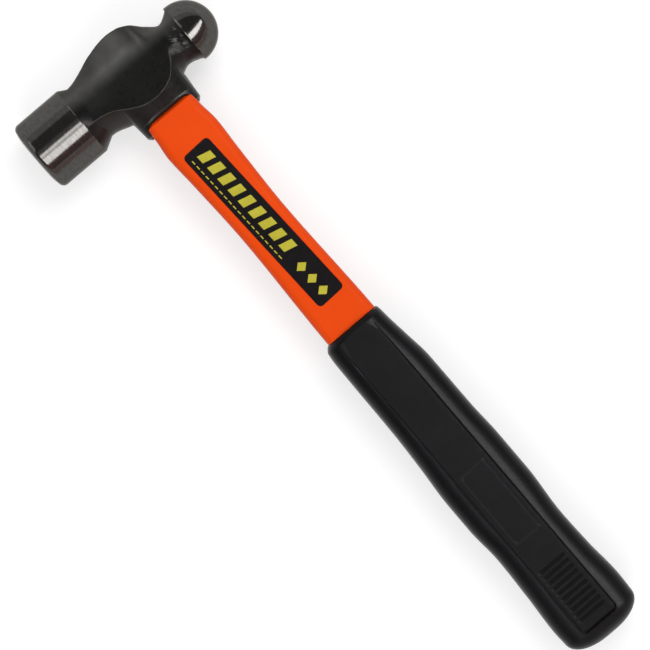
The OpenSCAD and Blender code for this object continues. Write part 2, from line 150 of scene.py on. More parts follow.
def skin(name, rings, loop=False):
    """A closed mesh through rings of points, all of one count. loop joins the last to the first."""
    m, n = len(rings), len(rings[0])
    verts = to_frame(np.concatenate([np.asarray(r, float) for r in rings]))
    faces = [(i * n + k, i * n + (k + 1) % n, (i + 1) % m * n + (k + 1) % n, (i + 1) % m * n + k)
             for i in range(m if loop else m - 1) for k in range(n)]
    if not loop:
        faces += [tuple(range(n)), tuple((m - 1) * n + k for k in range(n))]
    return make_object(name, verts, faces)


def shade(obj, angle=35):
    """Smooth shading, with edges sharper than angle kept."""
    mesh = obj.data
    mesh.shade_smooth()
    mesh.set_sharp_from_angle(angle=math.radians(angle))


def apply(obj, kind, **settings):
    """Adds a modifier and applies it."""
    mod = obj.modifiers.new(kind.lower(), kind)
    for key, value in settings.items():
        setattr(mod, key, value)
    bpy.context.view_layer.objects.active = obj
    with bpy.context.temp_override(object=obj, active_object=obj, selected_objects=[obj]):
        bpy.ops.object.modifier_apply(modifier=mod.name)


def combine(obj, other, operation):
    """Joins another object to obj, or cuts it away, and removes it."""
    apply(obj, "BOOLEAN", object=other, operation=operation, solver="EXACT")
    bpy.data.objects.remove(other)


def ride(obj, slot, *nodes):
    """Puts a piece on the tool's one body, in place of the nodes it covers. slot is not used."""
    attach(obj, "root")
    if nodes:
        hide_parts(*nodes)


def round_box(a, b, r, steps=10):
    """Rounded rectangle of half sizes a and b, as (across, up) points from the right side up."""
    out = []
    for c, (sx, sy) in enumerate(((1, 1), (-1, 1), (-1, -1), (1, -1))):
        for k in range(steps + 1):
            q = math.radians(90 * c + 90 * k / steps)
            out.append((sx * (a - r) + r * math.cos(q), sy * (b - r) + r * math.sin(q)))
    return out


def box_reach(a, b, r, angle):
    """Distance from the middle of a rounded rectangle to its edge in a direction."""
    c, s = abs(math.cos(angle)), abs(math.sin(angle))
    flat = min(a / max(c, 1e-9), b / max(s, 1e-9))
    if flat * c <= a - r or flat * s <= b - r:
        return flat
    along = c * (a - r) + s * (b - r)
    away = (a - r) ** 2 + (b - r) ** 2 - r * r
    return along + math.sqrt(max(0, along * along - away))


# ---- Head ----

BODY_Y0 = POLL_BACK + POLL_TAPER * 0.5
BODY_Y1 = BALL_EDGE + 0.6
POLL_NECK_R, BALL_NECK_R = POLL_NECK_D / 2, BALL_NECK_D / 2
POLL_NECK_Y, BALL_NECK_Y = POLL_BACK + POLL_TAPER, BALL_EDGE - 6
POLL_ROOT = POLL_TAPER * (POLL_D / 2 - POLL_NECK_R + 2) / (POLL_D / 2 - POLL_NECK_R)
HALF_T = CHEEK_T / 2

# Lines along the head, as (place, value): the crown's and the lower edge's distance from the axis,
# the place of the parting line between them, the half thickness there, how square the upper half
# is, the half width of the crown's flat, and the share by which the flanks draw in. The two lean
# lines spread that share over a flank.
CROWN_LINE = [
    (BODY_Y0, POLL_NECK_R + 0.4), (POLL_NECK_Y + 1, POLL_NECK_R + 0.7),
    (-18.4, lerp(POLL_NECK_R, CROWN_H, 0.43)), (-10.5, lerp(POLL_NECK_R, CROWN_H, 0.74)),
    (-5.3, lerp(POLL_NECK_R, CROWN_H, 0.92)), (0, CROWN_H),
    (5.3, lerp(BALL_NECK_R, CROWN_H, 0.945)), (10.5, lerp(BALL_NECK_R, CROWN_H, 0.72)),
    (15.8, lerp(BALL_NECK_R, CROWN_H, 0.27)), (BALL_NECK_Y, BALL_NECK_R - 0.7),
    (BALL_EDGE - 2, BALL_NECK_R + 1), (BODY_Y1, BALL_R - 0.6)]
LOWER_LINE = [
    (BODY_Y0, POLL_NECK_R - 0.6), (POLL_NECK_Y + 2, POLL_NECK_R - 0.6), (-15, POLL_NECK_R + 2),
    (0, RIM_DROP - 2.5), (14, BALL_NECK_R + 3), (BALL_NECK_Y - 1, BALL_NECK_R + 0.7),
    (BALL_EDGE - 2, BALL_NECK_R + 1.8), (BODY_Y1, BALL_R - 0.4)]
PARTING_LINE = [
    (BODY_Y0, 5), (-25, 5.5), (-19.5, PARTING_DROP * 0.465), (-12.1, PARTING_DROP * 0.757),
    (-6.4, PARTING_DROP * 0.94), (-0.5, PARTING_DROP), (4.5, PARTING_DROP * 0.95),
    (9, PARTING_DROP * 0.83), (12.5, PARTING_DROP * 0.63), (15.2, PARTING_DROP * 0.34),
    (17.5, 0.8), (BODY_Y1, 0)]
CHEEK_LINE = [
    (BODY_Y0, POLL_NECK_R), (-22, lerp(POLL_NECK_R, HALF_T, 0.05)), (-10, HALF_T - 0.3),
    (0, HALF_T), (9, HALF_T - 0.7), (15, lerp(BALL_NECK_R, HALF_T, 0.4)),
    (BALL_NECK_Y, BALL_NECK_R), (BALL_EDGE - 2, BALL_NECK_R + 1.5), (BODY_Y1, BALL_R - 0.5)]
SQUARE_LINE = [(BODY_Y0, 2), (-20, 2.4), (-10, 4), (0, 4.6), (9, 4), (16, 2.4), (BODY_Y1, 2)]
FLAT_LINE = [(BODY_Y0, 0.3), (-20, 0.6), (-12, CROWN_W / 2 - 1), (0, CROWN_W / 2),
             (10, CROWN_W / 2 - 1), (16.5, 0.6), (BODY_Y1, 0.3)]
DRAFT_LINE = [(BODY_Y0, 0.05), (-14, CHEEK_DRAFT), (8, CHEEK_DRAFT), (16, 0.05), (BODY_Y1, 0)]
LOWER_DRAFT_LINE = [(BODY_Y0, 0.42), (8, 0.42), (15, 0.1), (BODY_Y1, 0)]
LEAN_LINE = [(0, 0), (0.5, 0.22), (0.62, 0.3), (0.74, 0.47), (1, 1)]
EVEN_LINE = [(0, 0), (1, 1)]
KEEL_W = 0.3                             # half width of the flat under the body
LOWER_SQUARENESS, BOSS_SQUARENESS = 2.2, 2.6
BOSS_ROOT = 8                            # how far the boss reaches into the body
EAR_TAPER, EAR_THINNING = 0.4, 0.6       # of the ears, from the rim to their bevel
ARCH_END = 60                            # where the cut between the ears ends, below them
POLL_LIP = ((0, -0.24), (0.02, -0.2), (0.1, 0), (0.28, 0.25))   # inwards, and past the poll's end
BALL_LIP = ((0.35, 0), (0.12, 0.05), (0.01, 0.2))               # inwards, and past the ball's edge
SKIN_DEPTH, SKIN_GRAIN = 0.05, 450       # depth of the forged skin's unevenness, and its fineness
NECK_DEPTH, NECK_GRAIN = 0.22, 620       # the same in the ball's neck
NECK_MIDDLE, NECK_REACH = BALL_EDGE - 4.5, 3.5   # where those are
NECK_SHIFT = Vector((3, 7, 1))           # draws their noise from another place


def flank(q, p, edge_x, edge_z, part_x, part_z, draft, leans):
    """A point of a quarter section, from the parting line (0) to the outline (90)."""
    s = math.sin(math.radians(q)) ** (2 / p)
    f = max(0, math.cos(math.radians(q))) ** (2 / p)
    return (part_x + (edge_x - part_x) * s,
            edge_z + (part_z * (1 - draft * curve(leans, s)) - edge_z) * f)


def body_ring(y, n=36):
    """The body's outline at a place along the head, from the crown round to the crown."""
    p = curve(SQUARE_LINE, y)
    part_x, part_z = curve(PARTING_LINE, y), curve(CHEEK_LINE, y)
    upper = [flank(90 * k / n, p, -curve(CROWN_LINE, y), curve(FLAT_LINE, y), part_x, part_z,
                   curve(DRAFT_LINE, y), LEAN_LINE) for k in range(n, 0, -1)]
    lower = [flank(90 * k / n, LOWER_SQUARENESS, curve(LOWER_LINE, y), KEEL_W, part_x, part_z,
                   curve(LOWER_DRAFT_LINE, y), EVEN_LINE) for k in range(n + 1)]
    half = upper + lower
    return [(x, y, z) for x, z in half] + [(x, y, -z) for x, z in reversed(half)]


def boss_ring(x, length, width, n=120):
    """A rounded oblong of half a length and half a width, at a place along the handle."""
    out = []
    power = 2 / BOSS_SQUARENESS
    for k in range(n):
        c, s = math.cos(2 * math.pi * k / n), math.sin(2 * math.pi * k / n)
        out.append((x, math.copysign(length * abs(c) ** power, c),
                    math.copysign(width * abs(s) ** power, s)))
    return out


def boss():
    """The eye boss with its ears, before the cut between them."""
    bevel_l = EAR_L - EAR_TAPER
    return skin("boss", [
        boss_ring(PARTING_DROP - BOSS_ROOT, EAR_L, HALF_T - 2.2),
        boss_ring(PARTING_DROP, EAR_L + 0.5, HALF_T - 0.7),
        boss_ring(RIM_DROP, EAR_L, BOSS_W / 2),
        boss_ring(EAR_DROP - EAR_BEVEL, bevel_l, BOSS_W / 2 - EAR_THINNING),
        boss_ring(EAR_DROP, bevel_l - EAR_BEVEL, BOSS_W / 2 - 2 * EAR_THINNING)])


def web():
    """Fills the corner between the cheeks' lower edge and the rim, in one slope on each side."""
    rings = []
    for y in np.arange(0.2 - EAR_L, EAR_L - 0.1, 0.5):
        x0, z0 = curve(PARTING_LINE, y), curve(CHEEK_LINE, y)
        z1 = BOSS_W / 2 * (1 - (abs(y) / EAR_L) ** BOSS_SQUARENESS) ** (1 / BOSS_SQUARENESS)
        half = [(x0 - 3, y, z0 - 1), (x0, y, z0 - 0.05), (RIM_DROP, y, z1)]
        rings.append(half + [(x, y, -z) for x, y, z in reversed(half)])
    return skin("web", rings)


def ear_arch():
    """The cut between the ears. Its end wall leans, from the rim down to the jacket."""
    half = NECK_W / 2 - ARCH_INSET
    turn = [(EAR_ARCH_R * (1 - math.cos(q)), half - EAR_ARCH_R * (1 - math.sin(q)))
            for q in np.linspace(0, math.pi / 2, 12)]

    def outline(x0, z):
        side = [(x0 + x, y) for x, y in turn]
        other_side = [(x, -y) for x, y in side]
        points = [(ARCH_END, half)] + side[::-1] + other_side + [(ARCH_END, -half)]
        return [(x, y, z) for x, y in points]

    top, foot = RIM_DROP + RIM_LEAN[0], RIM_DROP + RIM_LEAN[1]
    return skin("ear_arch", [
        outline(top, -3 * BOSS_W), outline(top, -BOSS_W / 2), outline(foot, -NECK_T / 2),
        outline(foot, NECK_T / 2), outline(top, BOSS_W / 2), outline(top, 3 * BOSS_W)])


EYE_WAIST_X = -CROWN_H * 0.35
EYE_STATIONS = [
    (-CROWN_H - 1, EYE_TOP_LEN / 2, EYE_TOP_W / 2),
    (EYE_WAIST_X, EYE_WAIST_LEN / 2, EYE_WAIST_W / 2),
    (JACKET_X0 - 5, EYE_WAIST_LEN / 2, EYE_WAIST_W / 2),
    (JACKET_X0 - 1, NECK_W / 2 + EYE_FIT, NECK_T / 2 + EYE_FIT),
    (EAR_DROP + 10, NECK_W / 2 + EYE_FIT, NECK_T / 2 + EYE_FIT)]


def eye_size(x, gap=0.0):
    """Half length, half width and corner radius of the eye at a place, shrunk by a gap."""
    places, lengths, widths = zip(*EYE_STATIONS)
    return np.interp(x, places, lengths) - gap, np.interp(x, places, widths) - gap, JACKET_R - gap


def eye_void():
    """The tapered hole through the head."""
    rings = []
    for x, _, _ in EYE_STATIONS:
        rings.append([(x, y, z) for y, z in round_box(*eye_size(x))])
    return skin("eye_void", rings)


def revolve(name, profile, n=256):
    """Turns a profile of (radius, place along the head) about the head's axis."""
    turns = np.linspace(0, 2 * math.pi, n, endpoint=False)
    return skin(name, [[(r * math.sin(q), y, r * math.cos(q)) for q in turns] for r, y in profile])


TIP_R = 0.05                             # a turned piece's radius where it meets its axis


def poll():
    """The turned poll: a flat face in a slight crown, a rounded bevel, the barrel and its root."""
    r = POLL_D / 2
    bevel = [(r - FACE_BEVEL_W * (1 - math.cos(q)),
              FACE_CROWN + (FACE_BEVEL - FACE_CROWN) * (1 - math.sin(q)))
             for q in np.linspace(math.pi / 2, 0, 20)]
    profile = [(TIP_R, 0), (FACE_D / 2 - 0.2, 0), (FACE_D / 2 + 0.2, 0.03)] + bevel
    profile += [(r, y) for y in np.linspace(FACE_BEVEL + 1, POLL_LEN - 0.5, 20)]
    profile += [(r - inwards, POLL_LEN + along) for inwards, along in POLL_LIP]
    profile += [(POLL_NECK_R - 2, POLL_LEN + POLL_ROOT), (TIP_R, POLL_LEN + POLL_ROOT)]
    return revolve("poll", [(p, y - FACE_REACH) for p, y in profile])


def ball():
    """The ball, with its flat back that undercuts it."""
    low = math.asin((BALL_EDGE - BALL_Y) / BALL_R)
    edge_r = BALL_R * math.cos(low)
    profile = [(TIP_R, BALL_EDGE)]
    profile += [(edge_r - inwards, BALL_EDGE + along) for inwards, along in BALL_LIP]
    profile += [(max(TIP_R, BALL_R * math.cos(q)), BALL_Y + BALL_R * math.sin(q))
                for q in [low + 0.018, *np.linspace(low + 0.04, math.pi / 2, 90)]]
    return revolve("ball", profile)


def hammer_marks(obj):
    """Sinks the forged skin by a fine unevenness, which is coarser in the ball's neck."""
    neck_y = CROSSING[1] + NECK_MIDDLE * MM
    mesh = obj.data
    sunk = []
    for v in mesh.vertices:
        neck = math.exp(-((v.co.y - neck_y) / (NECK_REACH * MM)) ** 4)
        fine = 0.5 + 0.5 * noise.noise(v.co * SKIN_GRAIN)
        coarse = 0.5 + 0.5 * noise.noise(v.co * NECK_GRAIN + NECK_SHIFT)
        sunk.append(v.co - v.normal * MM * (SKIN_DEPTH * fine + NECK_DEPTH * neck * coarse))
    for v, co in zip(mesh.vertices, sunk):
        v.co = co


def build_head():
    """One forging: the remeshed body and boss, with the turned poll and ball joined on."""
    head = skin("hammer_head", [body_ring(y) for y in np.arange(BODY_Y0, BODY_Y1 + 0.1, 0.4)])
    skirt = boss()
    combine(skirt, web(), "UNION")
    combine(skirt, ear_arch(), "DIFFERENCE")
    combine(head, skirt, "UNION")
    combine(head, eye_void(), "DIFFERENCE")
    apply(head, "REMESH", mode="VOXEL", voxel_size=VOXEL * MM, adaptivity=0)
    apply(head, "SMOOTH", factor=0.5, iterations=3)
    hammer_marks(head)
    combine(head, poll(), "UNION")
    combine(head, ball(), "UNION")
    shade(head, 40)
    ride(head, "head_steel", "head")
    return head


# ---- Handle ----

SHOULDER_X = RIM_DROP + RIM_LEAN[1]      # where the jacket thickens, just below the rim
JACKET_WIDTH = [
    (JACKET_X0, NECK_W / 2), (EAR_DROP, NECK_W / 2), (SWELL_DROP, SWELL_W / 2),
    (lerp(SWELL_DROP, WAIST_DROP, 0.32), lerp(SWELL_W, WAIST_W, 0.42) / 2),
    (WAIST_DROP, WAIST_W / 2), (GRIP_X, MOUTH_W / 2), (STEM_X, STEM_W / 2), (JACKET_X1, STEM_W / 2)]
JACKET_THICK = [
    (JACKET_X0, NECK_T / 2), (SHOULDER_X - 0.1, NECK_T / 2), (SHOULDER_X + 0.9, JACKET_T / 2),
    (GRIP_X, JACKET_T / 2), (STEM_X, STEM_T / 2), (JACKET_X1, STEM_T / 2)]
SEAM_H, SEAM_W = 0.09, 0.22              # the mould's parting ridge along both edges


def jacket_size(x, grow=0.0):
    """Half width, half thickness and corner radius of the jacket at a place."""
    return curve(JACKET_WIDTH, x) + grow, curve(JACKET_THICK, x) + grow, JACKET_R + grow


def box_ring(x, size, angles, seam=0.0):
    """A rounded rectangle's ring at given angles, with a fine ridge where the mould parted."""
    out = []
    for q in angles:
        reach = box_reach(*size, q)
        y, z = reach * math.cos(q), reach * math.sin(q)
        y += math.copysign(seam * math.exp(-(z / SEAM_W) ** 2), y)
        out.append((x, y, z))
    return out


def ring_angles(size, steps=12):
    """Angles that put points on a rounded rectangle's corners, flats and parting ridge."""
    out = [math.atan2(z, y) for y, z in round_box(*size, steps)]
    flats = [math.atan2(z, s * size[0]) for s in (1, -1)
             for z in (-0.8, -0.5, -0.3, -0.15, 0, 0.15, 0.3, 0.5, 0.8)]
    flats += [math.atan2(s * size[1], y) for s in (1, -1) for y in np.linspace(-6, 6, 7)]
    return sorted(set(round(q % (2 * math.pi), 5) for q in out + flats))


def build_jacket():
    """The orange jacket, with the core's hole through it."""
    places = [JACKET_X0, RIM_DROP] + list(np.arange(RIM_DROP + 0.2, EAR_DROP, 0.2))
    places += list(np.arange(EAR_DROP, STEM_X + 1, STEP * 1.5)) + [JACKET_X1 - 0.6, JACKET_X1]
    angles = ring_angles(jacket_size(WAIST_DROP))
    outer = [box_ring(x, jacket_size(x), angles, SEAM_H if x > EAR_DROP else 0) for x in places]
    inner = [box_ring(x, CORE_HOLE, angles) for x in (places[-1], places[0])]
    jacket = skin("moulded_jacket", outer + inner, loop=True)
    shade(jacket, 50)
    ride(jacket, "jacket_plastic", "handle_jacket")
    return jacket


MENISCUS = (                             # share of the eye's width, and lift over the crown's line
    (1.0, -0.3), (0.97, -0.1), (0.92, 0.0), (0.75, 0.05), (0.5, 0.08), (0.25, 0.1), (0.05, 0.1))


def build_resin(n=96):
    """The cast resin: a cup over the core's end, with a crown that follows the head's."""
    angles = [2 * math.pi * (k + 0.5) / n for k in range(n)]
    low_x = JACKET_X0 - RESIN_FIT
    crown_size = eye_size(-CROWN_H * 0.9, RESIN_FIT)

    def cap_ring(share, lift):
        ring = []
        for q in angles:
            reach = box_reach(*crown_size, q) * share
            y = reach * math.cos(q)
            ring.append((CAP_DROP - curve(CROWN_LINE, y) + lift, y, reach * math.sin(q)))
        return ring

    rings = [box_ring(x, CORE_HOLE, angles) for x in (CORE_X0 - CORE_FIT, low_x)]
    rings += [box_ring(x, eye_size(x, RESIN_FIT), angles)
              for x in (low_x, JACKET_X0 - 1, JACKET_X0 - 5, 0, EYE_WAIST_X, -CROWN_H * 0.5)]
    rings += [cap_ring(share, lift) for share, lift in MENISCUS]
    resin = skin("cast_resin", rings)
    shade(resin, 40)
    ride(resin, "resin", "eye_resin")
    return resin


# ---- Grip ----

FRONT_EDGE = [
    (0, MOUTH_W / 2 + 0.4), (1, GRIP_MOUTH_W / 2 - 0.8), (8, GRIP_MOUTH_W / 2 - 0.1),
    (18, lerp(GRIP_MOUTH_W, GRIP_FRONT_W, 0.5) / 2), (32, GRIP_FRONT_W / 2 + 0.4),
    (60, GRIP_FRONT_W / 2 + 0.6), (GRIP_LEN * 0.44, PALM_W / 2), (GRIP_LEN * 0.55, PALM_W / 2),
    (GRIP_LEN * 0.69, FINGER_W / 2 - 0.2), (GRIP_LEN * 0.79, FINGER_W / 2 + 0.3),
    (GRIP_LEN - 18, HEEL_W / 2 - 0.2), (GRIP_LEN - HEEL_ROUND, HEEL_W / 2 - 0.5)]
REAR_EDGE = [
    (0, MOUTH_W / 2 + 0.4), (1, GRIP_MOUTH_W / 2 - 0.4), (3, GRIP_MOUTH_W / 2 + 0.8),
    (9, GRIP_FRONT_W / 2 - 0.9), (48, GRIP_FRONT_W / 2 - 0.5),
    (GRIP_LEN * 0.38, lerp(GRIP_FRONT_W, PALM_W, 0.25) / 2), (GRIP_LEN * 0.50, PALM_W / 2 + 0.3),
    (GRIP_LEN * 0.58, PALM_W / 2 + 0.3), (GRIP_LEN * 0.68, FINGER_W / 2 + 0.4),
    (GRIP_LEN * 0.80, FINGER_W / 2 + 1.1), (GRIP_LEN - 16, HEEL_W / 2 + 0.3),
    (GRIP_LEN - HEEL_ROUND, HEEL_W / 2)]
GRIP_THICK = [
    (0, JACKET_T / 2 + 1.2), (1, JACKET_T / 2 + 2.5), (3, GRIP_T / 2 - 0.75),
    (14, GRIP_T / 2 - 0.3), (40, GRIP_T / 2), (GRIP_LEN - HEEL_ROUND, GRIP_T / 2)]
SQUARENESS = 3.4
HEEL_CLOSE = 0.88                        # how far the heel's round closes in, as a share
TOP_HALF = 12.6                          # half the width of the part of a ring that is laid out by y
ARC_STEPS = 20                           # points on a quarter of a ring's side
PANEL_START = -20                        # the panel runs out through the grip's mouth
PANEL_BLEND = 0.5                        # width of the panel's edge
EDGE_STEP, EDGE_COUNT = 0.16, 9          # the closer places on each side of that edge
RIB_SOFT, RIB_REACH = 0.3, 1.6           # slopes at the ribs' ends, and how far a rib is worked out
FRAME_SLOPE = 0.06                       # width of the slopes on the raised frame's bars


def heel_share(d):
    """The share of its full size that the grip keeps, at a distance from the mouth."""
    t = max(0, d - GRIP_LEN + HEEL_ROUND) / HEEL_ROUND
    return 1 - HEEL_CLOSE * (1 - math.sqrt(max(0, 1 - t * t)))


def box_distance(x, y, half_l, half_w, r):
    """Signed distance to a rounded rectangle about the origin, negative inside."""
    dx, dy = abs(x) - half_l + r, abs(y) - half_w + r
    return math.hypot(max(dx, 0), max(dy, 0)) + min(max(dx, dy), 0) - r


def panel_cut(d, y):
    """Distance outside the panel's outline, and the height of its floor with grooves and ribs."""
    end = GRIP_LEN - PANEL_END
    edge = box_distance(d - (end + PANEL_START) / 2, y - PANEL_SHIFT,
                        (end - PANEL_START) / 2, PANEL_W / 2, PANEL_R)
    from_groove = (edge + PANEL_GROOVE_W / 2) / (PANEL_GROOVE_W / 2)
    floor = -PANEL_GROOVE_DEPTH * math.exp(-from_groove ** 4)
    past_end = abs(y - PANEL_SHIFT) - RIB_LEN / 2
    for k in range(RIB_COUNT):
        off = abs(d - (GRIP_LEN - RIB_END - k * RIB_PITCH)) / (RIB_W / 2)
        if off < RIB_REACH and past_end < 2 * RIB_SOFT:
            floor -= RIB_DEPTH * math.exp(-off ** 4) * float(smooth(0.5 - past_end / RIB_SOFT))
    return edge, floor


def frame_rise(d, y):
    """Height of the raised bare frame over the panel's floor."""
    x = d - (GRIP_LEN - FRAME_END)
    y -= PANEL_SHIFT
    outer = box_distance(x, y, FRAME_LEN / 2, FRAME_W / 2, FRAME_BAR)
    inner = box_distance(x, y, FRAME_LEN / 2 - FRAME_BAR, FRAME_W / 2 - FRAME_BAR, FRAME_BAR / 2)
    return FRAME_H * float(smooth(-outer / FRAME_SLOPE + 0.5) * smooth(inner / FRAME_SLOPE + 0.5))


def top_places():
    """Places across the grip's top, closer together at the panel's and the frame's edges."""
    edges = [PANEL_SHIFT + s * PANEL_W / 2 for s in (-1, 1)]
    fine = [e + s * k * EDGE_STEP for e in edges for s in (-1, 1) for k in range(EDGE_COUNT)]
    bars = [PANEL_SHIFT + s * (FRAME_W / 2 - b) for s in (-1, 1) for b in (0, FRAME_BAR)]
    fine += [b + k * FRAME_SLOPE / 2 for b in bars for k in (-1, 0, 1)]
    coarse = np.arange(-TOP_HALF, TOP_HALF + 0.01, STEP * 0.8)
    keep = [y for y in coarse if all(abs(y - f) > 0.2 for f in fine)]
    return sorted(set(round(y, 4) for y in fine + keep + [-TOP_HALF, TOP_HALF]))


def grip_ring(d, tops):
    """The grip's outline at a distance from its mouth, with the panel on both faces."""
    share = heel_share(d)
    a, b = curve(FRONT_EDGE, d), curve(REAR_EDGE, d)
    h = curve(GRIP_THICK, d)
    top_plane = GRIP_T / 2 - PANEL_DEPTH

    def crown(y):
        w = a if y >= 0 else b
        return h * max(0, 1 - (abs(y) / w) ** SQUARENESS) ** (1 / SQUARENESS)

    def surface(y, side):
        z = crown(y) * share
        edge, floor = panel_cut(d, y)
        if edge < PANEL_BLEND:
            sunk = min(z, top_plane + floor)
            if side > 0:
                sunk = min(z, sunk + frame_rise(d, y))
            z = lerp(z, sunk, float(smooth(0.5 - edge / PANEL_BLEND)))
        return z

    def side_arc(w, sign):
        q0 = math.acos((TOP_HALF / w) ** (SQUARENESS / 2))
        out = []
        for k in range(1, 2 * ARC_STEPS):
            q = q0 * (1 - k / ARC_STEPS)
            y = sign * w * math.cos(q) ** (2 / SQUARENESS)
            z = math.copysign(h * abs(math.sin(q)) ** (2 / SQUARENESS), q)
            y += sign * SEAM_H * math.exp(-(z / SEAM_W) ** 2)
            out.append((y * share, z * share))
        return out

    ring = [(y * share, surface(y, 1)) for y in tops]
    ring += side_arc(a, 1)
    ring += [(y * share, -surface(y, -1)) for y in reversed(tops)]
    ring += [(y, -z) for y, z in side_arc(b, -1)]
    return [(GRIP_X + d, y, z) for y, z in ring]


def grip_places():
    """Distances of the rings from the mouth, closer at the mouth, the frame, the ribs and the heel."""
    ribs = GRIP_LEN - RIB_END - (RIB_COUNT - 1) * RIB_PITCH - 1.5
    heel = GRIP_LEN - HEEL_ROUND
    out = [0, 0.25, 0.5, 0.75, 1.0, 1.5, 2, 2.5, 3]
    out += list(np.arange(3.5, ribs, STEP)) + list(np.arange(ribs, heel, STEP * 0.4))
    out += [heel + HEEL_ROUND * math.sin(q) for q in np.linspace(0, math.pi / 2, 44)]
    frame_x = GRIP_LEN - FRAME_END
    out += [frame_x + s * (FRAME_LEN / 2 - b) + k * FRAME_SLOPE / 2 for s in (-1, 1)
            for b in (0, FRAME_BAR) for k in (-1, 0, 1)]
    return sorted(set(round(d, 4) for d in out))


def build_grip():
    """The rubber sleeve with its closed heel, hollow over the jacket."""
    tops = top_places()
    outer = [grip_ring(d, tops) for d in grip_places()]
    angles = [math.atan2(z, y) for _, y, z in outer[0]]
    inner_x = list(np.linspace(JACKET_X1 + GRIP_FIT, STEM_X, 4)) + [GRIP_X + 6, GRIP_X + 3, GRIP_X]
    inner = [box_ring(x, jacket_size(x, GRIP_FIT), angles) for x in inner_x]
    grip = skin("rubber_grip", inner + outer)
    shade(grip, 50)
    ride(grip, "grip_rubber", "grip")
    return grip


# ---- Label ----

FILM_TOP, FILM_BEVEL = LABEL_T - 0.04, 0.05   # the print stands a little above the film
PRINT_LOW, PRINT_HIGH = LABEL_T - 0.045, LABEL_T - 0.01
BAR_COUNT, BAR_PITCH, BAR_SIZE, BAR_SLANT = 9, 6.55, (3.9, 6.2), 0.9
DASH_COUNT, DASH_PITCH, DASH_SIZE, DASH_SLANT = 20, 2.93, (1.9, 0.5), 0.1
DIAMOND_COUNT, DIAMOND_PITCH, DIAMOND_REACH = 3, 6.9, (2.4, 2.8)
BAR_START = (-LABEL_LEN / 2 + 6.6, 1.0)
DASH_START = (-LABEL_LEN / 2 + 4.8, -4.9)
DIAMOND_START = (LABEL_LEN / 2 - 18.8, -0.9)


def plate(name, outline, low, high, bevel=0.0):
    """A flat plate with an outline in the label's plane, millimetres above the jacket's face."""
    turn = Matrix.Rotation(math.radians(LABEL_TURN), 2)
    centre = np.mean(outline, axis=0)

    def ring(z, inset):
        out = []
        for p in np.array(outline):
            away = (p - centre) / np.linalg.norm(p - centre)
            x, y = turn @ Vector(p - inset * away)
            out.append((LABEL_DROP + x, y, JACKET_T / 2 + z))
        return out

    rings = [ring(low, 0), ring(high - bevel, 0)] + ([ring(high, bevel)] if bevel else [])
    obj = skin(name, rings)
    shade(obj, 30)
    return obj


def build_label():
    """The black film, with a fine bevel along its edge."""
    outline = round_box(LABEL_LEN / 2, LABEL_W / 2, LABEL_R)
    label = plate("label_film", outline, 0, FILM_TOP, FILM_BEVEL)
    ride(label, "label_film", "label")
    return label


def bar(cx, cy, size, slant):
    """A leaning oblong."""
    w, h = size[0] / 2, size[1] / 2
    return [(cx + w + slant, cy + h), (cx - w + slant, cy + h),
            (cx - w - slant, cy - h), (cx + w - slant, cy - h)]


def diamond(cx, cy, reach):
    """An upright diamond, with its reach to the sides and up."""
    w, h = reach
    return [(cx + w, cy), (cx, cy + h), (cx - w, cy), (cx, cy - h)]


def build_print():
    """A plain pattern in the label's yellow: slanted bars, a dashed rule and diamonds."""
    rows = (
        ("bar", BAR_COUNT, BAR_PITCH, BAR_START, bar, (BAR_SIZE, BAR_SLANT)),
        ("dash", DASH_COUNT, DASH_PITCH, DASH_START, bar, (DASH_SIZE, DASH_SLANT)),
        ("diamond", DIAMOND_COUNT, DIAMOND_PITCH, DIAMOND_START, diamond, (DIAMOND_REACH,)))
    pieces = []
    for kind, count, pitch, (x, y), outline, sizes in rows:
        for k in range(count):
            pieces.append(plate(f"print_{kind}_{k + 1}", outline(x + k * pitch, y, *sizes),
                                PRINT_LOW, PRINT_HIGH))
    for piece in pieces:
        ride(piece, "label_film")
    return pieces


# ---- Materials ----

